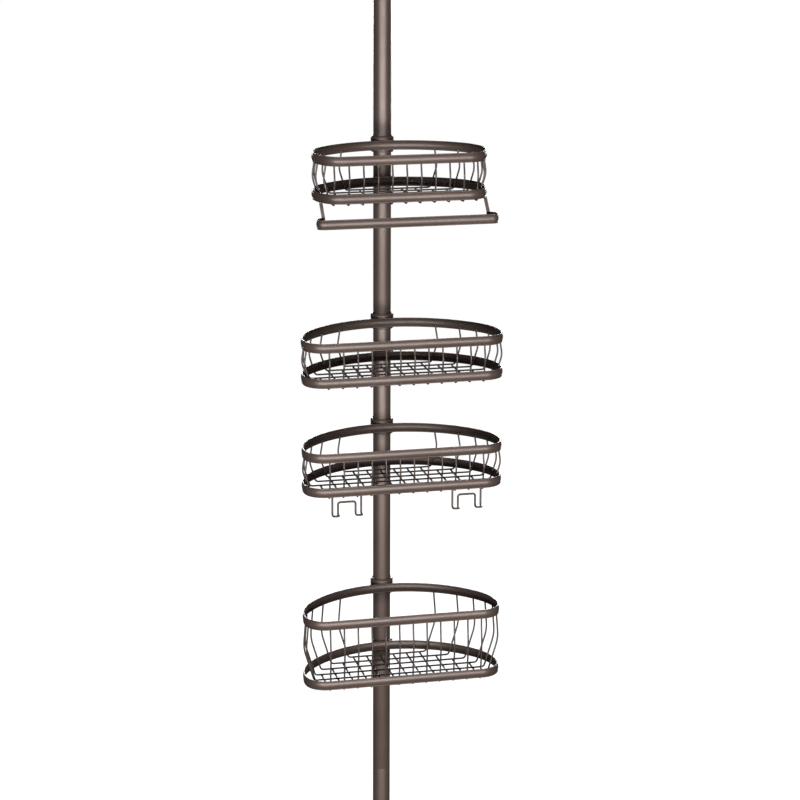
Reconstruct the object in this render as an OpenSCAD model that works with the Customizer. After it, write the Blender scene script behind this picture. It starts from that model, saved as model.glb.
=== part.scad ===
// Shower caddy on a spring-loaded tension pole, with four wire baskets.
// The pole's axis is the Z axis and it stands on z = 0. The baskets face -Y.

/* [Pole] */
// Outer diameter of the pole tubes
pole_d = 25.4; // [22:0.1:32]
// Wall of every tube
tube_wall = 1.2; // [0.8:0.1:2]
// Height of the joint between the lower and the middle tube
lower_seam_z = 491; // [300:1:600]
// Length of the middle tube
middle_tube_l = 692; // [600:1:700]
// Length of the upper tube
upper_tube_l = 692; // [500:1:800]
// Length of each coupler inside the tubes
coupler_l = 70; // [40:1:100]

/* [Foot] */
// Diameter of the rubber pads at both ends
pad_d = 58; // [44:1:80]
// Thickness of the rubber pads
pad_h = 5; // [3:0.5:8]
// Height of the cups that hold the pads
cup_h = 26; // [18:1:40]

/* [Telescoping top] */
// Outer diameter of the inner tube
inner_d = 21.6; // [18:0.1:22]
// Length of the inner tube
inner_l = 640; // [450:1:700]
// How far the inner tube reaches down into the upper tube
inner_engage = 360; // [250:1:420]
// Outer diameter of the lock knob
knob_d = 36; // [33:0.5:46]
// Height of the lock knob
knob_h = 46; // [36:1:60]
// Number of grip ribs round the lock knob
knob_ribs = 16; // [8:1:24]
// Diameter of the spring plunger's stem
plunger_d = 15; // [10:0.5:16]
// Travel of the spring plunger
plunger_travel = 30; // [10:1:45]
// Free height of the compression spring as fitted
spring_h = 90; // [70:1:120]
// Wire diameter of the compression spring
spring_wire = 2.2; // [1.5:0.1:2.6]
// Number of turns of the compression spring
spring_turns = 9; // [5:1:12]

/* [Baskets] */
// Width of the top basket
narrow_w = 244; // [210:1:270]
// Depth of the top basket, front face to back face
narrow_depth = 138; // [124:1:150]
// Radius of the top basket's back, outside
narrow_back_r = 146; // [138:1:160]
// Radius of the top basket's sides, outside
narrow_side_r = 68; // [60:1:76]
// Width of the three lower baskets
wide_w = 285; // [250:1:310]
// Depth of the three lower baskets
wide_depth = 146; // [134:1:160]
// Radius of the three lower baskets' backs, outside
wide_back_r = 158; // [150:1:176]
// Radius of the three lower baskets' sides, outside
wide_side_r = 82; // [70:1:90]
// Radius of the front corners, outside
corner_r = 30; // [20:1:36]
// Height of the rim bands
rim_h = 13.5; // [9:0.5:18]
// Thickness of the rim bands
rim_t = 3; // [2.4:0.1:4]
// Height of the top basket's upper edge
basket_1_z = 1441; // [1420:1:1500]
// Height of the second basket's upper edge
basket_2_z = 1186; // [1180:1:1200]
// Height of the third basket's upper edge
basket_3_z = 1030; // [1010:1:1040]
// Height of the bottom basket's upper edge
basket_4_z = 786; // [740:1:800]
// Height of the top basket, over both rims
basket_1_h = 65; // [58:1:80]
// Height of the second and third baskets, over both rims
basket_2_h = 63; // [56:1:70]
// Height of the bottom basket, over both rims
basket_4_h = 103; // [90:1:120]

/* [Wires] */
// Diameter of the basket wires
wire_d = 2.5; // [2:0.1:3.2]
// Distance between neighbouring wires
wire_pitch = 20; // [17:0.5:26]
// How far the uprights bow outwards between the rims
wire_bow = 3.2; // [1.5:0.1:4]
// How far an upright runs up behind the top rim, mm
weld_l = 4; // [3:0.5:8]
// Lean of the long wires' uprights, from the floor to half the basket's height, in degrees
wire_lean = 17; // [12:1:20]
// Centre-line radius of the bend between an upright and the floor
wire_bend_r = 5; // [4:0.5:8]
// How far the floor's wires run below the bottom rim, to their centres
floor_drop = 2.4; // [2:0.1:4]
// Distance from the inside of the back rim to the rearmost long wire
back_gap = 18; // [14:0.5:20]

/* [Clips and collars] */
// Outer diameter of the collars
collar_d = 32.8; // [32:0.1:38]
// Height of the collars
collar_h = 20; // [16:0.5:26]
// How far a collar stands above its rim
collar_rise = 5; // [3:0.5:8]
// Wall of the collars at their lower end
collar_wall = 1.2; // [0.8:0.1:1.6]
// Taper of the wedge clips, in radius from bottom to top
clip_taper = 0.5; // [0.2:0.1:0.8]
// Running clearance between a clip and the pole or its collar
clip_gap = 0.05; // [0.03:0.01:0.1]
// Gap between the two halves of a clip
clip_split = 1.6; // [1:0.1:3]
// Angle that a lower saddle wraps round the pole
saddle_angle = 130; // [90:1:160]

/* [Towel bar] */
// Width of the towel bar
bar_w = 254; // [240:1:262]
// How far the bar stands in front of the top basket
bar_reach = 14; // [11:0.5:22]
// Gap between the top basket's bottom rim and the bar
bar_drop = 18; // [12:0.5:30]
// Radius of the bar's bent ends, outside
bar_end_r = 10; // [8:0.5:14]
// Width of the straps that carry the bar
strap_w = 4.5; // [3:0.5:8]
// Thickness of the straps
strap_t = 2; // [1.5:0.1:3]

/* [Hooks] */
// Diameter of the hook wire
hook_d = 3; // [2.5:0.1:3.5]
// Distance from the middle of the basket to the middle of a double hook
hook_x = 86; // [85:0.5:87]
// Distance between a double hook's outer legs
hook_outer_w = 41; // [36:0.5:46]
// Distance between a double hook's inner legs
hook_inner_w = 25; // [20:0.5:26]
// Distance from the bottom rim's lower edge to the cross bar
hook_bar_drop = 8; // [7:0.5:14]
// Distance from the bottom rim's lower edge to the prongs
hook_drop = 26; // [22:0.5:34]
// How far the prongs reach forward
hook_reach = 9; // [8:0.5:14]

/* [Hidden] */

bronze = "#5a4e48";
rubber = "#3a3a3a";
plastic = "#2e2826";
steel = "#9a9a9a";

overlap = 0.2;                                  // how far welded pieces sink into each other
knuckle_r = wire_d / 2 + 0.06;                  // ball at a wire's knees
pole_r = pole_d / 2;
tube_bore = pole_d - 2 * tube_wall;
middle_z = lower_seam_z + middle_tube_l;        // joint between the middle and the upper tube
upper_z = middle_z + upper_tube_l;              // top of the upper tube
tube_foot_z = pad_h + 3;                        // the lower tube stands on the cup's floor
inner_z = upper_z - inner_engage;               // lower end of the inner tube
inner_top_z = inner_z + inner_l;
inner_bore = inner_d - 2 * tube_wall;
knob_z = upper_z + 2;                           // underside of the lock knob
bush_rise = 12;                                 // how far the lock bush stands above the upper tube
plunger_rise = plunger_travel + 12;             // from the inner tube's top to the ceiling cup
guide_l = 14;                                   // how far the guide bush reaches into the inner tube
disc_h = 4;                                     // thickness of the plunger's disc
spring_top_z = inner_top_z - guide_l - disc_h - 0.5;
spring_z = spring_top_z - spring_h;
cup_z = inner_top_z + plunger_rise;             // underside of the ceiling cup

wire_r = wire_d / 2;
rim_back = collar_d / 2 - overlap;              // back face of every rim, measured from the pole's axis
// Rim outlines: width, depth, back radius and side radius.
narrow = [narrow_w, narrow_depth, narrow_back_r, narrow_side_r];
wide = [wide_w, wide_depth, wide_back_r, wide_side_r];

// A rim outline is one back arc, two side arcs, two corner arcs and a straight front, all tangent.
// Centre of a side arc, and of a front corner arc.
function side_x(size) = size[0] / 2 - size[3];
function side_y(size) = size[2] - sqrt((size[2] - size[3]) ^ 2 - side_x(size) ^ 2);
function corner_y(size) = size[1] - corner_r;
function corner_x(size) =
    side_x(size) + sqrt((size[3] - corner_r) ^ 2 - (corner_y(size) - side_y(size)) ^ 2);
// Angle at which the back arc meets a side arc, and at which a side arc meets a front corner.
function join_angle(size) = atan2(size[2] - side_y(size), side_x(size));
function turn_angle(size) = atan2(side_y(size) - corner_y(size), corner_x(size) - side_x(size));
// Half the width of the rim outline, inset by g, at a distance y in front of its back face.
function half_width(size, g, y) =
    y < size[2] - (size[2] - g) * sin(join_angle(size)) ? sqrt((size[2] - g) ^ 2 - (size[2] - y) ^ 2)
    : y < side_y(size) - (size[3] - g) * sin(turn_angle(size))
        ? side_x(size) + sqrt((size[3] - g) ^ 2 - (y - side_y(size)) ^ 2)
    : corner_x(size) + sqrt((corner_r - g) ^ 2 - (y - corner_y(size)) ^ 2);
// Distance from the back face to the front, inset by g, at a distance x from the middle.
function front_y(size, g, x) =
    abs(x) <= corner_x(size) ? size[1] - g
    : abs(x) <= corner_x(size) + (corner_r - g) * cos(turn_angle(size))
        ? corner_y(size) + sqrt((corner_r - g) ^ 2 - (abs(x) - corner_x(size)) ^ 2)
    : side_y(size) + sqrt((size[3] - g) ^ 2 - (abs(x) - side_x(size)) ^ 2);
// A length cut to the nearest 0.05 mm.
function cut(length) = round(length * 20) / 20;
// Points of an arc, and of a rim outline inset by g, its back face on the X axis.
function arc(centre, r, from, to, steps) =
    [for (i = [0 : steps]) let (a = from + (to - from) * i / steps) centre + r * [cos(a), sin(a)]];
function rim_edge(size, g) =
    let (back = join_angle(size), turn = turn_angle(size),
         side = arc([side_x(size), -side_y(size)], size[3] - g, turn, back, 16),
         rear = arc([0, -size[2]], size[2] - g, back, 90, 20))
    concat(arc([corner_x(size), -corner_y(size)], corner_r - g, -90, turn, 16),
        [for (i = [1 : 16]) side[i]], [for (i = [1 : 19]) rear[i]]);
function flipped(points) = [for (i = [len(points) - 1 : -1 : 0]) [-points[i][0], points[i][1]]];
function rim_outline(size, g) = concat(rim_edge(size, g), [[0, -g]], flipped(rim_edge(size, g)));

// Leaning leg of a long wire's upright: its length, its knee and how far the floor stands in from the top.
function leg_l(h) = cut((h / 2 - wire_bend_r) / cos(wire_lean));
function knee(h) = wire_bend_r * [cos(wire_lean), 1 - sin(wire_lean)]
    + leg_l(h) * [sin(wire_lean), cos(wire_lean)];
function floor_inset(h) = knee(h)[0] - wire_bow;

// Places of the long wires, from the back face, and of the cross wires, from the middle.
function long_places(size) =
    let (first = rim_t + back_gap, room = size[1] - rim_t - wire_bend_r - wire_d - first)
    [for (i = [0 : floor(room / wire_pitch)]) first + i * wire_pitch];
function cross_places(size) =
    let (reach = corner_x(size) + corner_r / 2, odd = size == narrow,
         n = floor(reach / wire_pitch + (odd ? 0 : 0.5)))
    odd ? [for (i = [-n : n]) i * wire_pitch]
        : [for (i = [-n : n - 1]) (i + 0.5) * wire_pitch];
// Half the straight floor run of the long wire at y.
function floor_run(size, h, y) = cut(half_width(size, rim_t + wire_r - overlap, y) - floor_inset(h));
// Place of the rearmost long wire that passes over a cross wire at a distance x from the middle.
function last_long(size, h, x) = [for (y = long_places(size)) if (floor_run(size, h, y) > abs(x)) y][0];

// ---- Shared shapes ----

module tube(d, bore, h) {
    difference() {
        cylinder(d = d, h = h, $fn = 96);
        translate([0, 0, -1]) cylinder(d = bore, h = h + 2, $fn = 96);
    }
}

// Closed band along a rim outline, its back face at y = -rim_back, standing on z = 0.
module rim_band(size) {
    translate([0, -rim_back, 0]) linear_extrude(rim_h) difference() {
        polygon(rim_outline(size, 0));
        polygon(rim_outline(size, rim_t));
    }
}

// Upright of a cross wire, from the end of its floor run, which heads along +X at z = 0.
// It bends up, passes the bottom rim, bows outwards between the rims and ends behind the top rim.
module bowed_upright(h) {
    foot_top = rim_h + floor_drop;
    span = h - 2 * rim_h;
    bow_r = (span ^ 2 / 4 + wire_bow ^ 2) / (2 * wire_bow);
    bow_a = asin(span / 2 / bow_r);
    translate([0, 0, wire_bend_r]) rotate([90, 0, 0]) rotate([0, 0, -90])
        rotate_extrude(angle = 90, $fn = 72) translate([wire_bend_r, 0]) circle(wire_r, $fn = 24);
    translate([wire_bend_r, 0, 0]) {
        translate([0, 0, wire_bend_r]) cylinder(r = wire_r, h = foot_top - wire_bend_r, $fn = 24);
        translate([wire_bow - bow_r, 0, foot_top + span / 2]) rotate([90, 0, 0]) rotate([0, 0, -bow_a])
            rotate_extrude(angle = 2 * bow_a, $fn = 144) translate([bow_r, 0]) circle(wire_r, $fn = 24);
        translate([0, 0, foot_top + span]) cylinder(r = wire_r, h = weld_l, $fn = 24);
        for (z = [foot_top, foot_top + span]) translate([0, 0, z]) sphere(knuckle_r, $fn = 24);
    }
}

// Upright of a long wire, from the end of its floor run, which heads along +X at z = 0.
// It leans out to a knee at half the basket's height, then leans back in to the top rim.
module leaning_upright(h, lift) {
    top_z = h - rim_h + floor_drop - lift;
    rise = top_z - knee(h)[1];
    translate([0, 0, wire_bend_r]) rotate([90, 0, 0]) rotate([0, 0, -90])
        rotate_extrude(angle = 90 - wire_lean, $fn = 72) translate([wire_bend_r, 0]) circle(wire_r, $fn = 24);
    translate([wire_bend_r * cos(wire_lean), 0, wire_bend_r * (1 - sin(wire_lean))]) {
        sphere(knuckle_r, $fn = 24);
        rotate([0, wire_lean, 0]) cylinder(r = wire_r, h = leg_l(h), $fn = 24);
    }
    translate([knee(h)[0], 0, knee(h)[1]]) {
        sphere(knuckle_r, $fn = 24);
        rotate([0, -atan2(wire_bow, rise), 0]) cylinder(r = wire_r, h = norm([wire_bow, rise]), $fn = 24);
    }
    translate([floor_inset(h), 0, top_z]) {
        sphere(knuckle_r, $fn = 24);
        cylinder(r = wire_r, h = weld_l, $fn = 24);
    }
}

// ---- Basket pieces, each for a basket of a size and height h, its upper edge at z = 0 ----

module top_rim(size) translate([0, 0, -rim_h]) rim_band(size);

module bottom_rim(size, h) translate([0, 0, -h]) rim_band(size);

// Front uprights that turn back under the bottom rim and end just past a long wire.
module cross_wires(size, h) {
    for (x = cross_places(size)) {
        start = last_long(size, h, x) - wire_d;
        run = cut(front_y(size, rim_t + wire_r - overlap, x) - wire_bend_r - start);
        translate([x, -rim_back - start, -h - floor_drop]) rotate([0, 0, -90]) {
            rotate([0, 90, 0]) cylinder(r = wire_r, h = run, $fn = 24);
            translate([run, 0, 0]) bowed_upright(h);
        }
    }
}

// Side upright, floor run over the cross wires and second side upright, in one wire.
module long_wires(size, h) {
    lift = wire_d - overlap;
    for (y = long_places(size)) {
        run = floor_run(size, h, y);
        translate([0, -rim_back - y, -h - floor_drop + lift]) {
            translate([-run, 0, 0]) rotate([0, 90, 0]) cylinder(r = wire_r, h = 2 * run, $fn = 24);
            for (side = [0, 180]) rotate([0, 0, side]) translate([run, 0, 0]) leaning_upright(h, lift);
        }
    }
}

// Round collar with a rounded top edge and a bore that narrows upwards, welded to the back of the top rim.
module collar() {
    r = collar_d / 2;
    bore = r - collar_wall;
    edge = 2.5;
    translate([0, 0, collar_rise - collar_h]) difference() {
        rotate_extrude($fn = 120) {
            square([r, collar_h - edge]);
            square([r - edge, collar_h]);
            translate([r - edge, collar_h - edge]) circle(edge, $fn = 48);
        }
        rotate_extrude($fn = 120) polygon([[0, -1], [bore, -1], [bore, 0], [bore - clip_taper, collar_h],
            [bore - clip_taper, collar_h + 1], [0, collar_h + 1]]);
    }
}

// Split wedge clip: two half sleeves with a lip that carries the collar.
module pole_clip() {
    bore = pole_r + clip_gap;
    lip_h = 2.5;
    top = collar_h - 1;
    outer = collar_d / 2 - collar_wall - clip_gap;
    slope = clip_taper / collar_h;
    translate([0, 0, collar_rise - collar_h]) difference() {
        rotate_extrude($fn = 120) polygon([[bore, -lip_h], [collar_d / 2 - 0.6, -lip_h],
            [collar_d / 2 - 0.6, -clip_gap], [outer, -clip_gap], [outer, 0],
            [outer - slope * top, top], [bore, top]]);
        translate([-collar_d, -clip_split / 2, -lip_h - 1])
            cube([2 * collar_d, clip_split, collar_h + lip_h + 2]);
    }
}

// Curved saddle behind the bottom rim, which bears on the pole.
module saddle(h) {
    inner = pole_r + 0.3;
    translate([0, 0, -h]) rotate([0, 0, -90 - saddle_angle / 2])
        rotate_extrude(angle = saddle_angle, $fn = 120)
            translate([inner, 0]) square([collar_d / 2 - inner, rim_h]);
}

// ---- Towel bar and hooks ----

bar_front = rim_back + narrow_depth + bar_reach;
bar_z = basket_1_z - basket_1_h - bar_drop - rim_h;
bar_curl = 55;                                  // how far past square the bar's ends curl inwards
bar_tail = 8;                                   // straight end after the curl
strap_x = bar_edge(rim_t / 2)[17][0];           // middle of a strap

// Right half of the bar's plan, inset by g, its front face on the X axis.
function bar_edge(g) =
    let (curl = arc([bar_w / 2 - bar_end_r, bar_end_r], bar_end_r - g, -90, bar_curl, 16))
    concat(curl, [curl[16] + bar_tail * [-sin(bar_curl), cos(bar_curl)]]);
function reversed(points) = [for (i = [len(points) - 1 : -1 : 0]) points[i]];

module towel_bar() color(bronze) translate([0, -bar_front, bar_z]) linear_extrude(rim_h)
    polygon(concat(flipped(bar_edge(0)), bar_edge(0), reversed(bar_edge(rim_t)),
        reversed(flipped(bar_edge(rim_t)))));

// Flat straps that lean back from the bar's curled ends to the underside of the bottom rim.
module bar_straps() color(bronze) {
    rim_z = basket_1_z - basket_1_h;
    top_y = -rim_back - front_y(narrow, rim_t / 2, strap_x) - strap_t / 2;
    low_y = bar_edge(rim_t)[17][1] - bar_front - 1;
    for (side = [0, 1]) mirror([side, 0, 0])
        translate([strap_x - strap_w / 2, 0, 0]) rotate([90, 0, 90]) linear_extrude(strap_w)
            polygon([[low_y, bar_z + 1], [low_y + strap_t, bar_z + 1], [low_y + strap_t, bar_z + rim_h],
                [top_y + strap_t, rim_z - 1], [top_y + strap_t, rim_z + overlap], [top_y, rim_z + overlap],
                [top_y, rim_z - 1], [low_y, bar_z + rim_h]]);
}

// Two double hooks: each is one wire with two outer legs, two forward prongs and a cross bar.
module double_hooks() color(bronze) {
    rim_z = basket_3_z - basket_2_h;
    y = -rim_back - wide_depth + rim_t + hook_d / 2 - overlap;
    for (x = [-hook_x, hook_x]) translate([x, y, rim_z]) double_hook();
}

module double_hook() {
    link = (hook_outer_w - hook_inner_w) / 2;
    r = 3.5;
    low = -hook_drop;
    // Leg down from a height, with a forward prong.
    module leg(top) {
        translate([0, 0, low + r]) cylinder(d = hook_d, h = top - low - r, $fn = 24);
        translate([0, -r, low + r]) rotate([0, 90, 0]) rotate_extrude(angle = 90, $fn = 72)
            translate([r, 0]) circle(d = hook_d, $fn = 24);
        translate([0, -hook_reach, low]) rotate([-90, 0, 0])
            cylinder(d = hook_d, h = hook_reach - r, $fn = 24);
    }
    for (side = [0, 1]) mirror([side, 0, 0]) {
        translate([hook_outer_w / 2, 0, 0]) leg(rim_h - 1.5);
        translate([hook_inner_w / 2, 0, 0]) leg(-hook_bar_drop - r);
        translate([hook_inner_w / 2 - r, 0, -hook_bar_drop - r]) rotate([90, 0, 0])
            rotate_extrude(angle = 90, $fn = 72) translate([r, 0]) circle(d = hook_d, $fn = 24);
        for (x = [0, link]) translate([hook_inner_w / 2 + x, -hook_reach, low])
            sphere(d = hook_d + 0.12, $fn = 24);
        translate([hook_inner_w / 2, -hook_reach, low]) rotate([0, 90, 0])
            cylinder(d = hook_d, h = link, $fn = 24);
    }
    translate([r - hook_inner_w / 2, 0, -hook_bar_drop]) rotate([0, 90, 0])
        cylinder(d = hook_d, h = hook_inner_w - 2 * r, $fn = 24);
}

// ---- Pole and its ends ----

// Rubber disc with a chamfered edge and two grip grooves underneath.
module pad() {
    difference() {
        rotate_extrude($fn = 120) polygon([[0, 0], [pad_d / 2 - 1.5, 0], [pad_d / 2, 1.5],
            [pad_d / 2, pad_h], [0, pad_h]]);
        for (r = [pad_d / 4, pad_d / 2.8]) translate([0, 0, -1])
            tube(2 * r + 2, 2 * r - 2, 2);
    }
}

// Cup that stands on a pad, with a flared skirt and a socket for a tube of diameter d.
module cup(d) {
    r = d / 2 + 3;
    skirt = pad_d / 2 - 2;
    difference() {
        rotate_extrude($fn = 120) polygon([[0, 0], [skirt, 0], [skirt, 3], [skirt - 6, 6],
            [r + 2, 11], [r, 16], [r, cup_h - 1], [r - 1, cup_h], [0, cup_h]]);
        translate([0, 0, 3]) cylinder(d = d, h = cup_h, $fn = 96);
    }
}

module floor_pad() color(rubber) pad();

module foot_cup() color(plastic) translate([0, 0, pad_h]) cup(pole_d);

module lower_tube() color(bronze) translate([0, 0, tube_foot_z])
    tube(pole_d, tube_bore, lower_seam_z - tube_foot_z);

module middle_tube() color(bronze) translate([0, 0, lower_seam_z]) tube(pole_d, tube_bore, middle_tube_l);

module upper_tube() color(bronze) translate([0, 0, middle_z]) tube(pole_d, tube_bore, upper_tube_l);

// Hollow plastic sleeves that join the tubes end to end.
module tube_couplers() color(plastic)
    for (z = [lower_seam_z, middle_z]) translate([0, 0, z - coupler_l / 2])
        tube(tube_bore, tube_bore - 5, coupler_l);

// Fixed bush in the upper tube's mouth. Its neck above the tube carries the lock knob.
module lock_bush() color(plastic) translate([0, 0, upper_z]) difference() {
    union() {
        translate([0, 0, -25]) cylinder(d = tube_bore, h = 25, $fn = 96);
        cylinder(d = pole_d, h = 1.6, $fn = 96);
        cylinder(d = pole_d - 1.4, h = bush_rise, $fn = 96);
    }
    translate([0, 0, -26]) cylinder(d = inner_d + 0.12, h = bush_rise + 30, $fn = 96);
}

// Twist-lock knob with grip ribs. It turns on the bush's neck and closes round the inner tube.
module lock_knob() color(plastic) translate([0, 0, knob_z]) difference() {
    union() {
        rotate_extrude($fn = 120) polygon([[0, 0], [knob_d / 2 - 2.5, 0], [knob_d / 2 - 1.5, 1],
            [knob_d / 2 - 1.5, knob_h - 12], [inner_d / 2 + 3, knob_h], [0, knob_h]]);
        for (i = [0 : knob_ribs - 1]) rotate([0, 0, i * 360 / knob_ribs])
            translate([knob_d / 2 - 1.5, 0, 3]) cylinder(r = 1.5, h = knob_h - 17, $fn = 24);
    }
    translate([0, 0, -1]) cylinder(d = pole_d - 1.4 + 0.12, h = bush_rise, $fn = 96);
    translate([0, 0, -1]) cylinder(d = inner_d + 0.6, h = knob_h + 2, $fn = 96);
}

module inner_tube() color(bronze) translate([0, 0, inner_z]) tube(inner_d, inner_bore, inner_l);

// Plug fixed inside the inner tube, on which the spring stands.
module spring_stop() color(plastic) translate([0, 0, spring_z - 14]) {
    cylinder(d = inner_bore, h = 14, $fn = 96);
    cylinder(d = inner_bore - 2 * spring_wire - 3, h = 20, $fn = 96);
}

// Bush in the inner tube's top end that guides the plunger's stem.
module guide_bush() color(plastic) translate([0, 0, inner_top_z]) difference() {
    union() {
        translate([0, 0, -guide_l]) cylinder(d = inner_bore, h = guide_l, $fn = 96);
        cylinder(d = inner_d, h = 2, $fn = 96);
    }
    translate([0, 0, -guide_l - 1]) cylinder(d = plunger_d + 0.12, h = guide_l + 6, $fn = 96);
}

// Compression spring, closed and squared by its two end rings.
module compression_spring() color(steel) {
    coil_r = inner_bore / 2 - spring_wire / 2 - 0.5;
    sides = 6;
    per_turn = 12;
    rings = spring_turns * per_turn;
    rise = spring_h - spring_wire;
    points = [for (i = [0 : rings], j = [0 : sides - 1])
        let (a = 360 * i / per_turn, b = 360 * j / sides, r = coil_r + spring_wire / 2 * cos(b))
        [r * cos(a), r * sin(a), spring_wire / 2 + rise * i / rings + spring_wire / 2 * sin(b)]];
    walls = [for (i = [0 : rings - 1], j = [0 : sides - 1])
        let (k = (j + 1) % sides)
        [i * sides + j, (i + 1) * sides + j, (i + 1) * sides + k, i * sides + k]];
    ends = [[for (j = [0 : sides - 1]) j], [for (j = [sides - 1 : -1 : 0]) rings * sides + j]];
    translate([0, 0, spring_z]) polyhedron(points, concat(walls, ends));
}

// Plunger: a disc that the spring pushes, a stem through the guide bush and a head in the ceiling cup.
module plunger() color(steel) translate([0, 0, spring_top_z]) {
    cylinder(d = inner_bore - 0.6, h = disc_h, $fn = 96);
    cylinder(d = plunger_d, h = cup_z + cup_h - 3 - spring_top_z, $fn = 96);
}

module ceiling_cup() color(plastic) translate([0, 0, cup_z + cup_h]) mirror([0, 0, 1]) cup(plunger_d);

module ceiling_pad() color(rubber) translate([0, 0, cup_z + cup_h + pad_h]) mirror([0, 0, 1]) pad();

// ---- Baskets in place ----

module pole_clip_1() color(plastic) translate([0, 0, basket_1_z]) pole_clip();
module pole_clip_2() color(plastic) translate([0, 0, basket_2_z]) pole_clip();
module pole_clip_3() color(plastic) translate([0, 0, basket_3_z]) pole_clip();
module pole_clip_4() color(plastic) translate([0, 0, basket_4_z]) pole_clip();

module collar_1() color(bronze) translate([0, 0, basket_1_z]) collar();
module collar_2() color(bronze) translate([0, 0, basket_2_z]) collar();
module collar_3() color(bronze) translate([0, 0, basket_3_z]) collar();
module collar_4() color(bronze) translate([0, 0, basket_4_z]) collar();

module top_rim_1() color(bronze) translate([0, 0, basket_1_z]) top_rim(narrow);
module top_rim_2() color(bronze) translate([0, 0, basket_2_z]) top_rim(wide);
module top_rim_3() color(bronze) translate([0, 0, basket_3_z]) top_rim(wide);
module top_rim_4() color(bronze) translate([0, 0, basket_4_z]) top_rim(wide);

module bottom_rim_1() color(bronze) translate([0, 0, basket_1_z]) bottom_rim(narrow, basket_1_h);
module bottom_rim_2() color(bronze) translate([0, 0, basket_2_z]) bottom_rim(wide, basket_2_h);
module bottom_rim_3() color(bronze) translate([0, 0, basket_3_z]) bottom_rim(wide, basket_2_h);
module bottom_rim_4() color(bronze) translate([0, 0, basket_4_z]) bottom_rim(wide, basket_4_h);

module cross_wires_1() color(bronze) translate([0, 0, basket_1_z]) cross_wires(narrow, basket_1_h);
module cross_wires_2() color(bronze) translate([0, 0, basket_2_z]) cross_wires(wide, basket_2_h);
module cross_wires_3() color(bronze) translate([0, 0, basket_3_z]) cross_wires(wide, basket_2_h);
module cross_wires_4() color(bronze) translate([0, 0, basket_4_z]) cross_wires(wide, basket_4_h);

module long_wires_1() color(bronze) translate([0, 0, basket_1_z]) long_wires(narrow, basket_1_h);
module long_wires_2() color(bronze) translate([0, 0, basket_2_z]) long_wires(wide, basket_2_h);
module long_wires_3() color(bronze) translate([0, 0, basket_3_z]) long_wires(wide, basket_2_h);
module long_wires_4() color(bronze) translate([0, 0, basket_4_z]) long_wires(wide, basket_4_h);

module saddle_1() color(bronze) translate([0, 0, basket_1_z]) saddle(basket_1_h);
module saddle_2() color(bronze) translate([0, 0, basket_2_z]) saddle(basket_2_h);
module saddle_3() color(bronze) translate([0, 0, basket_3_z]) saddle(basket_2_h);
module saddle_4() color(bronze) translate([0, 0, basket_4_z]) saddle(basket_4_h);

floor_pad();
foot_cup();
lower_tube();
middle_tube();
upper_tube();
tube_couplers();
lock_bush();
lock_knob();
inner_tube();
spring_stop();
guide_bush();
compression_spring();
plunger();
ceiling_cup();
ceiling_pad();
pole_clip_1();
collar_1();
top_rim_1();
bottom_rim_1();
cross_wires_1();
long_wires_1();
saddle_1();
towel_bar();
bar_straps();
pole_clip_2();
collar_2();
top_rim_2();
bottom_rim_2();
cross_wires_2();
long_wires_2();
saddle_2();
pole_clip_3();
collar_3();
top_rim_3();
bottom_rim_3();
cross_wires_3();
long_wires_3();
saddle_3();
double_hooks();
pole_clip_4();
collar_4();
top_rim_4();
bottom_rim_4();
cross_wires_4();
long_wires_4();
saddle_4();
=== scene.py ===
"""Finish of a shower caddy: a bronze tension pole with four wire baskets, a towel bar and double hooks."""
import math
import random

import bmesh
import bpy
from mathutils import Matrix, Vector


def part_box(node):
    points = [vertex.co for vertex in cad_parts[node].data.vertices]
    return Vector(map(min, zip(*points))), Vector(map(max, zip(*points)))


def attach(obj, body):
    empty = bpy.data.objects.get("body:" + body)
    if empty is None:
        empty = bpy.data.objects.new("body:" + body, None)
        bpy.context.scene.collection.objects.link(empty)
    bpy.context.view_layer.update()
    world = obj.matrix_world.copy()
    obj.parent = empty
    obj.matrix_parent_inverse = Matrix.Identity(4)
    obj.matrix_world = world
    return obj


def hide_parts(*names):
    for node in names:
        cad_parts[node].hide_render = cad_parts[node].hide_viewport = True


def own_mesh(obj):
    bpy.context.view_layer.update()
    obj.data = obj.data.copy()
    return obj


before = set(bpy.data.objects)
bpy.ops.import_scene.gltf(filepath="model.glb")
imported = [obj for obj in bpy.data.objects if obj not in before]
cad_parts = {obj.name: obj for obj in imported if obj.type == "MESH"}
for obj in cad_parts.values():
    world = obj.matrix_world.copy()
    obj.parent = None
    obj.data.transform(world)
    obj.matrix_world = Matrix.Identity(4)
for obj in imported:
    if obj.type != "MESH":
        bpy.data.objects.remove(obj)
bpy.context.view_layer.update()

MM = 0.001
BASKETS = (1, 2, 3, 4)


# ---- Sizes read from the frame ----

def span(node):
    """Lowest and highest corner of a CAD node, as two vectors."""
    low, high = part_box(node)
    return Vector(low), Vector(high)


POLE_R = span("upper_tube")[1].x
WIRE_R = 1.25 * MM
HOOK_R = 1.5 * MM
WELD = 0.2 * MM                      # how far welded pieces sink into each other
CORNER_R = 30 * MM                   # front corners of the rims
BEND_R = 5 * MM                      # bend between an upright and the floor
BOW = 3.2 * MM                       # how far the uprights bow outwards
PITCH = 20 * MM                      # distance between neighbouring wires
BACK_GAP = 18 * MM                   # from the back rim's inside to the rearmost long wire
LEAN = math.radians(17)              # how far the long wires' uprights lean out from the floor
BAND_T = 3 * MM                      # thickness of the rim bands
BEAD_R = 0.95 * MM                   # rolled beads along a band's edges


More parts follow.
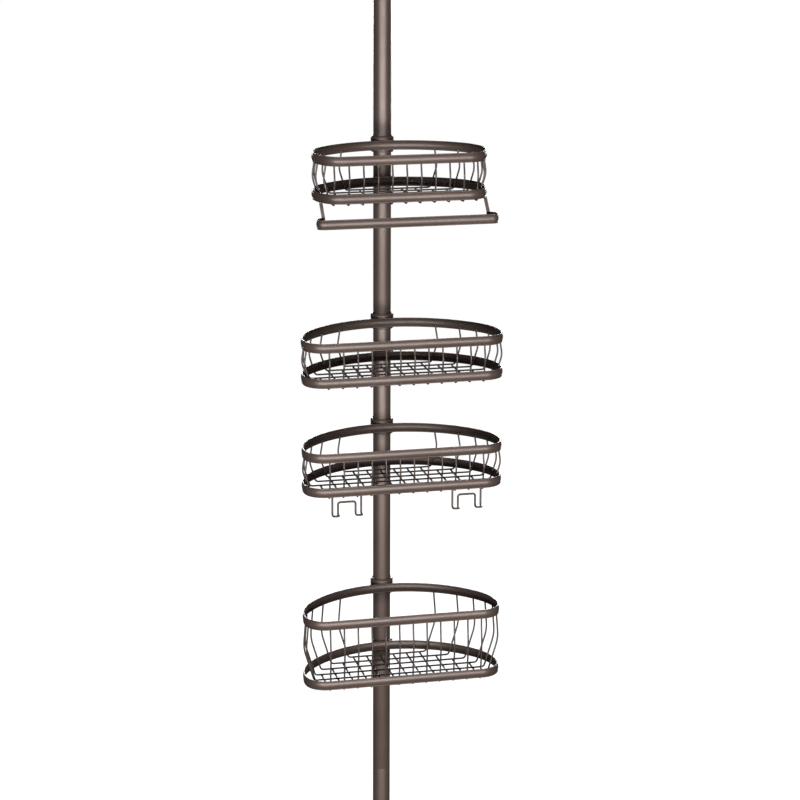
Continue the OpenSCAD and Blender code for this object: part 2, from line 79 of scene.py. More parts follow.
class Outline:
    """Plan of a rim: a back arc, two side arcs, two corner arcs and a straight front, all tangent.
    y is measured forward from the back face."""

    def __init__(self, node, back_r, side_r):
        low, high = span(node)
        self.width = high.x - low.x
        self.depth = high.y - low.y
        self.back = -high.y
        self.back_r, self.side_r = back_r, side_r
        self.side_x = self.width / 2 - side_r
        self.side_y = back_r - math.sqrt((back_r - side_r) ** 2 - self.side_x ** 2)
        self.corner_y = self.depth - CORNER_R
        self.corner_x = self.side_x + math.sqrt((side_r - CORNER_R) ** 2 - (self.corner_y - self.side_y) ** 2)
        self.join = math.atan2(back_r - self.side_y, self.side_x)
        self.turn = math.atan2(self.side_y - self.corner_y, self.corner_x - self.side_x)

    def half_width(self, inset, y):
        back, side = self.back_r - inset, self.side_r - inset
        if y < self.back_r - back * math.sin(self.join):
            return math.sqrt(back ** 2 - (self.back_r - y) ** 2)
        if y < self.side_y - side * math.sin(self.turn):
            return self.side_x + math.sqrt(side ** 2 - (y - self.side_y) ** 2)
        return self.corner_x + math.sqrt((CORNER_R - inset) ** 2 - (y - self.corner_y) ** 2)

    def front(self, inset, x):
        if abs(x) <= self.corner_x:
            return self.depth - inset
        return self.corner_y + math.sqrt((CORNER_R - inset) ** 2 - (abs(x) - self.corner_x) ** 2)

    def points(self, inset):
        """The outline in the frame, anticlockwise from the right end of the straight front."""
        turn, join = math.degrees(self.turn), math.degrees(self.join)
        right = arc((self.corner_x, -self.corner_y), CORNER_R - inset, -90, turn, 16)
        right += arc((self.side_x, -self.side_y), self.side_r - inset, turn, join, 18)[1:]
        right += arc((0, -self.back_r), self.back_r - inset, join, 90, 30)[1:]
        plan = right + [(-x, y) for x, y in reversed(right[:-1])]
        return [(x, y - self.back) for x, y in plan]

    def long_places(self):
        first = BAND_T + BACK_GAP
        room = self.depth - BAND_T - BEND_R - 2 * WIRE_R - first
        return [first + i * PITCH for i in range(int(room / PITCH) + 1)]

    def cross_places(self, odd):
        reach = self.corner_x + CORNER_R / 2
        if odd:
            n = int(reach / PITCH)
            return [i * PITCH for i in range(-n, n + 1)]
        n = int(reach / PITCH + 0.5)
        return [(i + 0.5) * PITCH for i in range(-n, n)]


def basket_outline(n):
    if n == 1:
        return Outline("top_rim_1", 146 * MM, 68 * MM)
    return Outline(f"top_rim_{n}", 158 * MM, 82 * MM)


def arc(centre, radius, start, end, steps):
    """Points of an arc, in degrees."""
    angles = [math.radians(start + (end - start) * i / steps) for i in range(steps + 1)]
    return [(centre[0] + radius * math.cos(a), centre[1] + radius * math.sin(a)) for a in angles]


# ---- Materials ----

def new_material(name, colour, roughness, metallic=0.0):
    mat = bpy.data.materials.new(name)
    mat.use_nodes = True
    shader = mat.node_tree.nodes["Principled BSDF"]
    shader.inputs["Base Color"].default_value = (*colour, 1)
    shader.inputs["Roughness"].default_value = roughness
    shader.inputs["Metallic"].default_value = metallic
    return mat, mat.node_tree, shader


def add_node(tree, kind, **values):
    node = tree.nodes.new(kind)
    for key, value in values.items():
        if key in node.inputs:
            node.inputs[key].default_value = value
        else:
            setattr(node, key, value)
    return node


def noise(tree, scale, detail=3.0, roughness=0.5):
    coords = add_node(tree, "ShaderNodeTexCoord")
    tex = add_node(tree, "ShaderNodeTexNoise", Scale=scale, Detail=detail, Roughness=roughness)
    tree.links.new(coords.outputs["Object"], tex.inputs["Vector"])
    return tex.outputs["Fac"]


def ramp(tree, source, stops):
    """Colour ramp with (position, colour) stops."""
    node = add_node(tree, "ShaderNodeValToRGB")
    ends = node.color_ramp.elements
    for stop, (place, colour) in zip(ends, (stops[0], stops[-1])):
        stop.position = place
        stop.color = (*colour, 1)
    for place, colour in stops[1:-1]:
        ends.new(place).color = (*colour, 1)
    tree.links.new(source, node.inputs["Fac"])
    return node.outputs["Color"]


def level(tree, source, low, high):
    """A 0 to 1 value stretched to low..high."""
    node = add_node(tree, "ShaderNodeMapRange")
    node.inputs["To Min"].default_value = low
    node.inputs["To Max"].default_value = high
    tree.links.new(source, node.inputs["Value"])
    return node.outputs["Result"]


def bump(tree, shader, height, strength, distance):
    node = add_node(tree, "ShaderNodeBump", Strength=strength, Distance=distance)
    tree.links.new(height, node.inputs["Height"])
    tree.links.new(node.outputs["Normal"], shader.inputs["Normal"])


def bronze_coat(name, dark, light, metallic):
    """Satin bronze powder coat: brown with a faint metallic fleck and a fine orange-peel surface."""
    mat, tree, shader = new_material(name, light, 0.4, metallic)
    cloud = noise(tree, 9.0, 2.0)
    colour = ramp(tree, cloud, [(0.3, dark), (0.7, light)])
    fleck = noise(tree, 2600.0, 1.0)
    spots = ramp(tree, fleck, [(0.60, (0, 0, 0)), (0.72, (1, 1, 1))])
    mix = add_node(tree, "ShaderNodeMix", data_type="RGBA", blend_type="MIX")
    tree.links.new(level(tree, spots, 0.0, 0.25), mix.inputs["Factor"])
    tree.links.new(colour, mix.inputs["A"])
    mix.inputs["B"].default_value = (0.24, 0.18, 0.15, 1)
    tree.links.new(mix.outputs["Result"], shader.inputs["Base Color"])
    tree.links.new(level(tree, noise(tree, 60.0, 3.0), 0.37, 0.45), shader.inputs["Roughness"])
    bump(tree, shader, noise(tree, 900.0, 3.0, 0.6), 0.12, 0.0004)
    return mat


def brown_plastic():
    """Moulded dark brown plastic with a fine spark-eroded grain."""
    mat, tree, shader = new_material("brown_plastic", (0.022, 0.018, 0.016), 0.48)
    tone = ramp(tree, noise(tree, 25.0, 2.0), [(0.3, (0.019, 0.0155, 0.014)), (0.7, (0.027, 0.022, 0.02))])
    tree.links.new(tone, shader.inputs["Base Color"])
    tree.links.new(level(tree, noise(tree, 140.0), 0.42, 0.56), shader.inputs["Roughness"])
    bump(tree, shader, noise(tree, 1700.0, 2.0), 0.25, 0.0003)
    return mat


def pad_rubber():
    """Matte black rubber, slightly dusty."""
    mat, tree, shader = new_material("pad_rubber", (0.03, 0.03, 0.031), 0.8)
    tone = ramp(tree, noise(tree, 40.0, 4.0, 0.6),
                [(0.35, (0.022, 0.022, 0.023)), (0.7, (0.045, 0.044, 0.043))])
    tree.links.new(tone, shader.inputs["Base Color"])
    tree.links.new(level(tree, noise(tree, 200.0), 0.7, 0.9), shader.inputs["Roughness"])
    bump(tree, shader, noise(tree, 1200.0, 3.0), 0.3, 0.0003)
    return mat


def zinc_steel():
    """Zinc-plated steel, slightly clouded."""
    mat, tree, shader = new_material("zinc_steel", (0.55, 0.55, 0.56), 0.3, 1.0)
    tone = ramp(tree, noise(tree, 30.0, 3.0), [(0.3, (0.48, 0.48, 0.5)), (0.7, (0.62, 0.62, 0.62))])
    tree.links.new(tone, shader.inputs["Base Color"])
    tree.links.new(level(tree, noise(tree, 400.0), 0.22, 0.36), shader.inputs["Roughness"])
    return mat


BRONZE = bronze_coat("bronze_coat", (0.060, 0.040, 0.033), (0.078, 0.054, 0.045), 0.35)
# Darker copy of the bronze coat for the wires, hooks and weld nuggets. It is the same powder coat with
# painted shade, so the thin wires read darker.
WIRE_BRONZE_PAINTED_SHADE = bronze_coat("bronze_wire_coat_painted_shade", (0.030, 0.020, 0.017), (0.040, 0.027, 0.023), 0.15)
PLASTIC = brown_plastic()
RUBBER = pad_rubber()
STEEL = zinc_steel()


# ---- Camera, floor and light ----

def add_camera():
    """Stands left of the front, a little above the baskets, and looks down at them."""
    eye = Vector((-0.756, -3.292, 1.931))
    turn, tilt, roll = (math.radians(a) for a in (13.38, 14.45, 0.19))
    data = bpy.data.cameras.new("camera")
    data.lens = 108.3
    data.clip_end = 120
    camera = bpy.data.objects.new("camera", data)
    look = Matrix.Rotation(-turn, 4, "Z") @ Matrix.Rotation(math.pi / 2 - tilt, 4, "X")
    camera.matrix_world = Matrix.Translation(eye) @ look @ Matrix.Rotation(roll, 4, "Z")
    bpy.context.scene.collection.objects.link(camera)
    bpy.context.scene.camera = camera


def add_backdrop():
    """Pale floor that curves up into a pale dome, lit by itself, so that it adds no glare to the finish."""
    radius, cove, pinhole = 30.0, 5.0, 0.01
    sides, cove_steps, dome_steps, quarter = 64, 8, 10, math.pi / 2
    flat = radius - cove
    rows = [(pinhole, 0.0), (flat, 0.0)]
    rows += [(flat + cove * math.sin(a), cove - cove * math.cos(a))
             for a in (quarter * i / cove_steps for i in range(1, cove_steps + 1))]
    rows += [(radius * math.cos(a), cove + radius * math.sin(a))
             for a in (quarter * i / dome_steps for i in range(1, dome_steps))]
    rows.append((pinhole, cove + radius))
    turns = [2 * math.pi * k / sides for k in range(sides)]
    verts = [(r * math.cos(t), r * math.sin(t), z) for r, z in rows for t in turns]
    faces = [(i * sides + k, (i + 1) * sides + k,
              (i + 1) * sides + (k + 1) % sides, i * sides + (k + 1) % sides)
             for i in range(len(rows) - 1) for k in range(sides)]
    mesh = bpy.data.meshes.new("backdrop")
    mesh.from_pydata(verts, [], faces)
    mesh.shade_smooth()
    paper, _, shader = new_material("backdrop_paper", (0.02, 0.02, 0.02), 0.9)
    shader.inputs["Emission Color"].default_value = (1, 1, 1, 1)
    shader.inputs["Emission Strength"].default_value = 1.0
    mesh.materials.append(paper)
    sheet = bpy.data.objects.new("backdrop", mesh)
    sheet.visible_diffuse = False
    sheet.visible_glossy = False
    bpy.context.scene.collection.objects.link(sheet)


def add_softbox(name, place, target, width, height, power):
    data = bpy.data.lights.new(name, "AREA")
    data.shape = "RECTANGLE"
    data.size = width
    data.size_y = height
    data.energy = power
    lamp = bpy.data.objects.new(name, data)
    aim = (Vector(target) - Vector(place)).to_track_quat("-Z", "Y")
    lamp.matrix_world = Matrix.Translation(place) @ aim.to_matrix().to_4x4()
    lamp.visible_camera = False
    bpy.context.scene.collection.objects.link(lamp)


def add_lights():
    middle = (0, 0, 1.1)                 # half-way up the pole, where every lamp points
    add_softbox("front_box", (-0.6, -3.7, 0.95), middle, width=5.5, height=0.7, power=330)
    add_softbox("top_light", (0.0, -0.6, 4.6), middle, width=1.6, height=1.6, power=60)
    add_softbox("back_box", (1.0, 3.6, 1.6), middle, width=3.4, height=0.9, power=260)
    world = bpy.data.worlds.new("studio")
    world.use_nodes = True
    world.node_tree.nodes["Background"].inputs["Color"].default_value = (1, 1, 1, 1)
    world.node_tree.nodes["Background"].inputs["Strength"].default_value = 0.09
    bpy.context.scene.world = world
    bpy.context.scene.view_settings.view_transform = "Standard"


# ---- Geometry Nodes trees ----

class Tree:
    """A Geometry Nodes tree with named inputs, built step by step."""

    def __init__(self, name, inputs):
        self.group = bpy.data.node_groups.new(name, "GeometryNodeTree")
        self.group.interface.new_socket("Geometry", in_out="INPUT", socket_type="NodeSocketGeometry")
        for label, kind in inputs:
            self.group.interface.new_socket(label, in_out="INPUT", socket_type="NodeSocket" + kind)
        self.group.interface.new_socket("Geometry", in_out="OUTPUT", socket_type="NodeSocketGeometry")
        self.source = self.group.nodes.new("NodeGroupInput")
        self.sink = self.group.nodes.new("NodeGroupOutput")

    def input(self, label):
        return self.source.outputs[label]

    def add(self, kind, settings=None, **links):
        """Adds a node. links fill its inputs by name, with _ for a space: a socket or a plain value."""
        node = self.group.nodes.new(kind)
        for key, value in (settings or {}).items():
            setattr(node, key, value)
        for key, value in links.items():
            socket = node.inputs[key.replace("_", " ")]
            if isinstance(value, bpy.types.NodeSocket):
                self.group.links.new(value, socket)
            else:
                socket.default_value = value
        return node

    def finish(self, geometry):
        """Ends in Realize Instances and Set Material."""
        real = self.add("GeometryNodeRealizeInstances", Geometry=geometry)
        painted = self.add("GeometryNodeSetMaterial", Geometry=real.outputs[0],
                           Material=self.input("Material"))
        self.group.links.new(painted.outputs[0], self.sink.inputs[0])
        return self.group


def wire_tree():
    """Round wire along each edge path, with its corners bent to a radius."""
    tree = Tree("bent_wire", [("Radius", "Float"), ("Bend", "Float"), ("Sides", "Int"),
                              ("Material", "Material")])
    path = tree.add("GeometryNodeMeshToCurve", Mesh=tree.input("Geometry"))
    bent = tree.add("GeometryNodeFilletCurve", {"mode": "POLY"}, Curve=path.outputs[0],
                    Radius=tree.input("Bend"), Limit_Radius=True, Count=6)
    section = tree.add("GeometryNodeCurvePrimitiveCircle", Resolution=tree.input("Sides"),
                       Radius=tree.input("Radius"))
    solid = tree.add("GeometryNodeCurveToMesh", Curve=bent.outputs[0], Profile_Curve=section.outputs[0],
                     Fill_Caps=True)
    return tree.finish(solid.outputs[0])


def band_tree():
    """Flat band along each edge path, its section taken from a profile object and kept upright."""
    tree = Tree("rolled_band", [("Profile", "Object"), ("Material", "Material")])
    path = tree.add("GeometryNodeMeshToCurve", Mesh=tree.input("Geometry"))
    upright = tree.add("GeometryNodeSetCurveNormal", {"mode": "Z_UP"}, Curve=path.outputs[0])
    outline = tree.add("GeometryNodeObjectInfo", Object=tree.input("Profile"))
    section = tree.add("GeometryNodeMeshToCurve", Mesh=outline.outputs["Geometry"])
    solid = tree.add("GeometryNodeCurveToMesh", Curve=upright.outputs[0], Profile_Curve=section.outputs[0],
                     Fill_Caps=True)
    return tree.finish(solid.outputs[0])


def nugget_tree():
    """A small weld nugget on each point, each a little different in size."""
    tree = Tree("weld_nuggets", [("Radius", "Float"), ("Seed", "Int"), ("Material", "Material")])
    ball = tree.add("GeometryNodeMeshIcoSphere", Radius=tree.input("Radius"), Subdivisions=2)
    size = tree.add("FunctionNodeRandomValue", {"data_type": "FLOAT"}, Seed=tree.input("Seed"))
    floats = [s for s in size.inputs if s.type == "VALUE" and s.name in ("Min", "Max")]
    floats[0].default_value, floats[1].default_value = 0.85, 1.1
    place = tree.add("GeometryNodeInstanceOnPoints", Points=tree.input("Geometry"), Instance=ball.outputs[0])
    tree.group.links.new(size.outputs[1], place.inputs["Scale"])
    smooth = tree.add("GeometryNodeSetShadeSmooth", Geometry=place.outputs[0])
    return tree.finish(smooth.outputs[0])


TREES = {"wire": wire_tree(), "band": band_tree(), "nugget": nugget_tree()}


def grow(name, verts, edges, tree, body, settings):
    """Runs a Geometry Nodes tree on a path and keeps the result as a plain mesh that rides on a body."""
    mesh = bpy.data.meshes.new(name + "_path")
    mesh.from_pydata(verts, edges, [])
    carrier = bpy.data.objects.new(name + "_path", mesh)
    bpy.context.scene.collection.objects.link(carrier)
    modifier = carrier.modifiers.new("shape", "NODES")
    modifier.node_group = TREES[tree]
    for item in TREES[tree].interface.items_tree:
        if item.in_out == "INPUT" and item.name in settings:
            modifier[item.identifier] = settings[item.name]
    bpy.context.view_layer.update()
    seen = carrier.evaluated_get(bpy.context.evaluated_depsgraph_get())
    solid = bpy.data.meshes.new_from_object(seen)
    solid.name = name
    bpy.data.objects.remove(carrier)
    bpy.data.meshes.remove(mesh)
    return keep(name, solid, body, settings["Material"])


def keep(name, mesh, body, material):
    """Shades a finished mesh, puts it in the scene and lets it ride on its body."""
    if not mesh.materials:
        mesh.materials.append(material)
    mesh.shade_smooth()
    mesh.set_sharp_from_angle(angle=math.radians(38))
    piece = bpy.data.objects.new(name, mesh)
    bpy.context.scene.collection.objects.link(piece)
    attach(piece, body)
    return piece


def chain(paths, closed=False):
    """Vertices and edges of several point paths."""
    verts, edges = [], []
    for path in paths:
        first = len(verts)
        verts += [tuple(p) for p in path]
        edges += [(i, i + 1) for i in range(first, len(verts) - 1)]
        if closed:
            edges.append((len(verts) - 1, first))
    return verts, edges


# ---- Turned pieces ----

def softened(profile, radius, steps=4):
    """The closed profile with each corner rounded, by at most a third of its shorter side."""
    out = []
    count = len(profile)
    for i, point in enumerate(profile):
        here = Vector(point)
        to_last = Vector(profile[i - 1]) - here
        to_next = Vector(profile[(i + 1) % count]) - here
        angle = to_last.angle(to_next)
        if angle > math.radians(172):
            out.append(tuple(here))
            continue
        reach = min(radius / math.tan(angle / 2), to_last.length / 3, to_next.length / 3)
        start, end = here + to_last.normalized() * reach, here + to_next.normalized() * reach
        for k in range(steps + 1):
            t = k / steps
            out.append(tuple(start * (1 - t) ** 2 + here * 2 * t * (1 - t) + end * t ** 2))
    return out


def turned(name, profile, body, material, round_r=0.4 * MM, segments=96, start=0.0, sweep=360.0):
    """Piece turned about the pole's axis from a closed profile of (radius, height) points."""
    profile = softened(profile, round_r)
    whole = sweep >= 360
    rings = segments if whole else segments + 1
    bm = bmesh.new()
    grid = []
    for i in range(rings):
        a = math.radians(start + sweep * i / segments)
        grid.append([bm.verts.new((max(r, 0) * math.cos(a), max(r, 0) * math.sin(a), z)) for r, z in profile])
    n = len(profile)
    for i in range(segments):
        this, following = grid[i], grid[(i + 1) % rings]
        for j in range(n):
            bm.faces.new((this[j], following[j], following[(j + 1) % n], this[(j + 1) % n]))
    if not whole:
        bm.faces.new(grid[0])
        bm.faces.new(list(reversed(grid[-1])))
    bmesh.ops.remove_doubles(bm, verts=bm.verts, dist=1e-6)
    bmesh.ops.dissolve_degenerate(bm, edges=bm.edges, dist=1e-6)
    bmesh.ops.recalc_face_normals(bm, faces=bm.faces)
    mesh = bpy.data.meshes.new(name)
    bm.to_mesh(mesh)
    bm.free()
    return keep(name, mesh, body, material)


# ---- Bands ----

def band_profile(height, thickness):
    """Section of a band as a closed loop: crowned faces between two rolled beads, centred on the origin."""
    waist, crown = 0.4 * MM, thickness / 2    # half thickness beside a bead, and in the middle
    top, steps = height / 2 - 2 * BEAD_R, 7
    face = [(waist + (crown - waist) * (1 - (i / steps) ** 2), top * i / steps) for i in range(steps + 1)]
    right = face + arc((0, height / 2 - BEAD_R), BEAD_R, -38, 90, 6)
    upper = right + [(-x, z) for x, z in reversed(right[:-1])]
    loop = upper + [(x, -z) for x, z in reversed(upper[1:-1])]
    mesh = bpy.data.meshes.new("band_section")
    mesh.from_pydata([(x, z, 0) for x, z in loop], [(i, (i + 1) % len(loop)) for i in range(len(loop))], [])
    return bpy.data.objects.new("band_section", mesh)


BAND_H = span("top_rim_1")[1].z - span("top_rim_1")[0].z
SECTION = band_profile(BAND_H, BAND_T)
bpy.context.scene.collection.objects.link(SECTION)


def rim(node, body):
    """Rolled band all round a basket, in place of its plain CAD band."""
    outline = basket_outline(int(node[-1]))
    low, high = span(node)
    verts, edges = chain([[(x, y, (low.z + high.z) / 2) for x, y in outline.points(BAND_T / 2)]], closed=True)
    piece = grow(node + "_band", verts, edges, "band", body, {"Profile": SECTION, "Material": BRONZE})
    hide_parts(node)


# ---- Basket wires ----

def eased(points, reaches):
    """The path with each of its knees rounded over a reach to either side."""
    path = [Vector(p) for p in points]
    out = [path[0]]
    for last, here, following, reach in zip(path, path[1:], path[2:], reaches):
        start, end = here + (last - here).normalized() * reach, here + (following - here).normalized() * reach
        out += [start.lerp(here, t).lerp(here.lerp(end, t), t) for t in (0, 0.25, 0.5, 0.75, 1)]
    return out + [path[-1]]


def bowed_upright(x, y, floor_z, low_rim, high_rim, wire_end):
    """Points of a cross wire's upright, from its floor corner up past the bottom rim to the top rim."""
    steps = 10
    points = [(x, y, floor_z)]
    for i in range(steps + 1):
        bow = BOW * math.sin(math.pi * i / steps) ** 2
        points.append((x, y - bow, low_rim + (high_rim - low_rim) * i / steps))
    return points + [(x, y, wire_end)]


class LongUpright:
    """A long wire's upright. It leans out to a knee at half the basket's height, then back to the top rim."""

    STUB = 2 * MM                    # where the eased path starts, up the leaning leg
    KNEE_EASE = 0.22                 # reach of the knee's rounding, as a share of the knee's height
    RIM_EASE = 1.8 * MM              # reach of the rounding at the top rim

    def __init__(self, height):
        leg = (height / 2 - BEND_R) / math.cos(LEAN)
        self.knee_x = BEND_R * math.cos(LEAN) + leg * math.sin(LEAN)
        self.knee_z = BEND_R * (1 - math.sin(LEAN)) + leg * math.cos(LEAN)
        self.corner_x = BEND_R * math.tan((math.pi / 2 - LEAN) / 2)
        self.inset = self.knee_x - BOW

    def points(self, run, row, floor_z, rim_z, wire_end):
        """Points from the floor corner up, for a wire whose straight floor run ends at x = run."""
        start_x = run + self.corner_x + self.STUB * math.sin(LEAN)
        bend = eased([(start_x, row, floor_z + self.STUB * math.cos(LEAN)),
                      (run + self.knee_x, row, floor_z + self.knee_z), (run + self.inset, row, rim_z),
                      (run + self.inset, row, wire_end)], [self.KNEE_EASE * self.knee_z, self.RIM_EASE])
        return [Vector((run + self.corner_x, row, floor_z))] + bend[1:]


def basket_wires(n):
    """Cross wires and long wires of one basket, and the weld nuggets that hold them together."""
    body = f"basket_{n}"
    outline = basket_outline(n)
    low_rim = span(f"bottom_rim_{n}")[1].z
    rim_low, rim_high = span(f"top_rim_{n}")
    wire_end = rim_low.z + 4 * MM        # the wires end behind the top rim
    upper_weld, lower_weld = rim_low.z + 2 * MM, low_rim - 4 * MM
    floor_z = span(f"cross_wires_{n}")[0].z + WIRE_R
    long_z = floor_z + 2 * WIRE_R - WELD
    inset = BAND_T + WIRE_R - WELD
    side = LongUpright(rim_high.z - span(f"bottom_rim_{n}")[0].z)
    runs = {y: outline.half_width(inset, y) - side.inset for y in outline.long_places()}
    crosses, longs, nuggets = [], [], []
    for x in outline.cross_places(odd=n == 1):
        rows = [y for y, run in runs.items() if run > abs(x)]
        front = -outline.back - outline.front(inset, x)
        crosses.append([(x, -outline.back - rows[0] + 2 * WIRE_R, floor_z)]
                       + bowed_upright(x, front, floor_z, low_rim, rim_low.z, wire_end))
        nuggets += [(x, front - WIRE_R, z) for z in (lower_weld, upper_weld)]
        nuggets += [(x, -outline.back - y, (floor_z + long_z) / 2) for y in rows]
    for y, run in runs.items():
        row = -outline.back - y
        right = side.points(run, row, long_z, rim_low.z, wire_end)
        longs.append([(-p.x, p.y, p.z) for p in reversed(right)] + [tuple(p) for p in right])
        nuggets += [(s * (run + side.inset + WIRE_R), row, upper_weld) for s in (-1, 1)]
    settings = {"Radius": WIRE_R, "Bend": BEND_R, "Sides": 12, "Material": WIRE_BRONZE_PAINTED_SHADE}
    piece = grow(f"cross_wires_{n}_bent", *chain(crosses), "wire", body, settings)
    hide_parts(f"cross_wires_{n}")
    piece = grow(f"long_wires_{n}_bent", *chain(longs), "wire", body, settings)
    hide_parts(f"long_wires_{n}")
    grow(f"weld_nuggets_{n}", nuggets, [], "nugget", body,
         {"Radius": WIRE_R * 1.05, "Seed": n, "Material": WIRE_BRONZE_PAINTED_SHADE})


# ---- Collars, clips and saddles ----

def basket_fittings(n):
    """Collar with its bead, the split wedge clip inside it and the saddle behind the bottom rim."""
    body = f"basket_{n}"
    low, high = span(f"collar_{n}")
    r = high.x
    wall, taper, dome_r, gap = 1.2 * MM, 0.5 * MM, 2.5 * MM, 0.05 * MM
    dome = [(r - dome_r + dome_r * math.sin(a), high.z - dome_r + dome_r * math.cos(a))
            for a in (math.pi / 2 * i / 8 for i in range(9))]
    bore_low, bore_high = r - wall, r - wall - taper
    profile = [(bore_high, high.z + 0.1 * MM), *dome, (r, low.z), (bore_low, low.z)]
    piece = turned(f"collar_{n}_shell", profile, body, BRONZE, 0.35 * MM)
    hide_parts(f"collar_{n}")
    add_weld_beads(n, body)

    clip_low, clip_high = span(f"pole_clip_{n}")
    bore, outer = POLE_R + gap, r - wall - gap
    lip_r, lip_top = clip_high.x, low.z - gap
    half = [(bore, clip_low.z), (lip_r, clip_low.z), (lip_r, lip_top), (outer, lip_top),
            (outer - taper * 0.95, clip_high.z), (bore, clip_high.z)]
    split = math.degrees(0.8 * MM / POLE_R)
    for side, start in (("front", 180 + split), ("rear", split)):
        piece = turned(f"wedge_clip_{n}_{side}", half, f"clip_{n}", PLASTIC, 0.3 * MM, 48,
                       start, 180 - 2 * split)
        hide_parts(f"pole_clip_{n}")

    low, high = span(f"saddle_{n}")
    inner = POLE_R + 0.3 * MM
    block = [(inner, low.z), (r, low.z), (r, high.z), (inner, high.z)]
    piece = turned(f"saddle_{n}_block", block, body, BRONZE, 0.5 * MM, 40, -90 - 65, 130)
    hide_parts(f"saddle_{n}")


def add_weld_beads(n, body):
    """A short run of weld on each side of the collar, where it meets the back of the rim."""
    rim_low, rim_high = span(f"top_rim_{n}")
    x, y = 5.2 * MM, -basket_outline(n).back - 0.4 * MM + 0.5 * MM
    margin, count, stray = 1.5 * MM, 9, 0.15
    runs = []
    rng = random.Random(n)
    for side in (-1, 1):
        for i in range(count):
            z = rim_low.z + margin + (rim_high.z - rim_low.z - 2 * margin) * i / (count - 1)
            runs.append((side * (x + rng.uniform(-stray, stray) * MM), y, z))
    grow(f"collar_welds_{n}", runs, [], "nugget", body,
         {"Radius": 1.1 * MM, "Seed": 20 + n, "Material": BRONZE})


# ---- Towel bar and hooks ----

def towel_bar():
    """Rolled band with curled ends."""
    low, high = span("towel_bar")
    curl_r, tail_l, curl_end = 10 * MM, 8 * MM, 55
    half = (high.x - low.x) / 2 - curl_r
    curl = arc((half, curl_r), curl_r - BAND_T / 2, -90, curl_end, 14)
    heading = math.radians(curl_end)
    tail = (curl[-1][0] - tail_l * math.sin(heading), curl[-1][1] + tail_l * math.cos(heading))
    right = curl + [tail]
    plan = [(-x, y) for x, y in reversed(right)] + right
    z = (low.z + high.z) / 2
    verts, edges = chain([[(x, y + low.y, z) for x, y in plan]])
    piece = grow("towel_bar_band", verts, edges, "band", "basket_1", {"Profile": SECTION, "Material": BRONZE})
    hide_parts("towel_bar")


def double_hooks():
    """Two double hooks, each bent from one wire."""
    low, high = span("double_hooks")
    rim_z = span("bottom_rim_3")[0].z
    outer, inner = 20.5 * MM, 12.5 * MM
    middle = high.x - HOOK_R - outer
    leg_y = high.y - HOOK_R
    tip_y = low.y + HOOK_R
    prong_z = low.z + HOOK_R
    tip_z = prong_z + 0.6 * MM
    bar_z = rim_z - 8 * MM
    paths = []
    for centre in (-middle, middle):
        right = [(inner, leg_y, bar_z), (inner, leg_y, prong_z), (inner, tip_y, tip_z),
                 (outer, tip_y, tip_z), (outer, leg_y, prong_z), (outer, leg_y, high.z)]
        left = [(-x, y, z) for x, y, z in reversed(right)]
        paths.append([(centre + x, y, z) for x, y, z in left + right])
    verts, edges = chain(paths)
    piece = grow("double_hooks_bent", verts, edges, "wire", "basket_3",
                 {"Radius": HOOK_R, "Bend": 3.4 * MM, "Sides": 16, "Material": WIRE_BRONZE_PAINTED_SHADE})
    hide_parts("double_hooks")


# ---- Pole ----

def tube(node, body, inner_r, material=BRONZE, ease=0.5 * MM):
    """A tube in place of its CAD node, with eased ends that show as a fine line at a joint."""
    low, high = span(node)
    profile = [(inner_r, low.z), (high.x, low.z), (high.x, high.z), (inner_r, high.z)]
    piece = turned(node + "_coated", profile, body, material, ease)
    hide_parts(node)


def end_cup(node, body, inner_r, flip):
    """Flared cup over a rubber pad. flip puts its skirt at the top."""
    low, high = span(node)
    skirt, r, h = high.x, inner_r + 3 * MM, high.z - low.z
    profile = [(0, 0), (skirt, 0), (skirt, 3 * MM), (skirt - 6 * MM, 6 * MM), (r + 2 * MM, 11 * MM),
               (r, 16 * MM), (r, h - MM), (r - MM, h), (inner_r, h), (inner_r, 3 * MM), (0, 3 * MM)]
    place = [(x, high.z - z if flip else low.z + z) for x, z in profile]
    piece = turned(node + "_moulded", place, body, PLASTIC, 1.2 * MM)
    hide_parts(node)


def end_pad(node, body, flip):
    """Rubber pad with two grip grooves in its bearing face."""
    low, high = span(node)
    r, h = high.x, high.z - low.z
    face = [(0, 0)]
    for groove in (r / 2, r / 1.4):
        face += [(groove - MM, 0), (groove - MM, MM), (groove + MM, MM), (groove + MM, 0)]
    profile = face + [(r - 1.5 * MM, 0), (r, 1.5 * MM), (r, h), (0, h)]
    place = [(x, high.z - z if flip else low.z + z) for x, z in profile]
    piece = turned(node + "_moulded", place, body, RUBBER, 0.3 * MM)
    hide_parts(node)


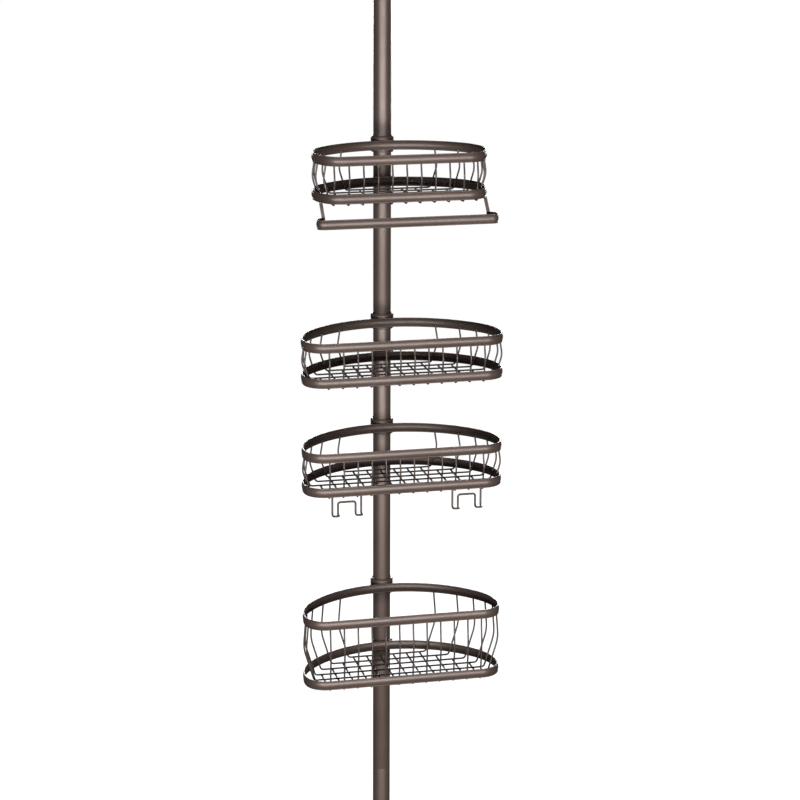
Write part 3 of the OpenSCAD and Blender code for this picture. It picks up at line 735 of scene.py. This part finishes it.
def lock_knob():
    """Ribbed twist-lock knob."""
    low, high = span("lock_knob")
    r, h, bore = high.x - 1.5 * MM, high.z - low.z, 11.1 * MM
    socket_r, socket_h, neck_h, wall, rib_count = 12.06 * MM, 11 * MM, 12 * MM, 2.7 * MM, 16
    profile = [(r - MM, 0), (r, MM), (r, h - neck_h), (bore + wall, h), (bore, h), (bore, socket_h),
               (socket_r, socket_h), (socket_r, 0)]
    piece = turned("lock_knob_body", [(x, low.z + z) for x, z in profile], "knob", PLASTIC, 1.0 * MM)
    ribs = []
    for i in range(rib_count):
        a = math.tau * i / rib_count
        x, y = r * math.cos(a), r * math.sin(a)
        ribs.append([(x, y, low.z + 3.5 * MM), (x, y, low.z + h - 14.5 * MM)])
    verts, edges = chain(ribs)
    grips = grow("lock_knob_ribs", verts, edges, "wire", "knob",
                 {"Radius": 1.45 * MM, "Bend": 0.0, "Sides": 16, "Material": PLASTIC})
    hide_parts("lock_knob")
    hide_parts("lock_knob")


def pole():
    bore = POLE_R - 1.2 * MM
    for node in ("lower_tube", "middle_tube", "upper_tube"):
        tube(node, "pole", bore)
    tube("inner_tube", "inner", span("inner_tube")[1].x - 1.2 * MM)
    end_pad("floor_pad", "pole", flip=False)
    end_cup("foot_cup", "pole", POLE_R, flip=False)
    end_pad("ceiling_pad", "plunger", flip=True)
    end_cup("ceiling_cup", "plunger", 7.5 * MM, flip=True)
    lock_knob()


def spring():
    """Round-wire coil under the plunger."""
    low, high = span("compression_spring")
    wire_r, turns, per_turn = 1.1 * MM, 9, 24
    coil_r, rise = (high.x - low.x) / 2 - wire_r, high.z - low.z - 2 * wire_r
    steps = turns * per_turn
    coil = [(coil_r * math.cos(2 * math.pi * i / per_turn), coil_r * math.sin(2 * math.pi * i / per_turn),
             low.z + wire_r + rise * i / steps) for i in range(steps + 1)]
    piece = grow("compression_spring_coil", *chain([coil]), "wire", "inner",
                 {"Radius": wire_r, "Bend": 0.4 * MM, "Sides": 12, "Material": STEEL})
    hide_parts("compression_spring")
    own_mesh(piece)


def hidden_pieces():
    """Finish of the CAD nodes that stay as they are, inside the tubes or as small plain parts."""
    finishes = {"tube_couplers": PLASTIC, "lock_bush": PLASTIC, "spring_stop": PLASTIC, "guide_bush": PLASTIC,
                "plunger": STEEL, "bar_straps": BRONZE}
    for name, material in finishes.items():
        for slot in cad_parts[name].material_slots:
            slot.material = material


add_camera()
add_backdrop()
add_lights()
for n in BASKETS:
    rim(f"top_rim_{n}", f"basket_{n}")
    rim(f"bottom_rim_{n}", f"basket_{n}")
    basket_wires(n)
    basket_fittings(n)
towel_bar()
double_hooks()
pole()
spring()
hidden_pieces()
bpy.data.objects.remove(SECTION)
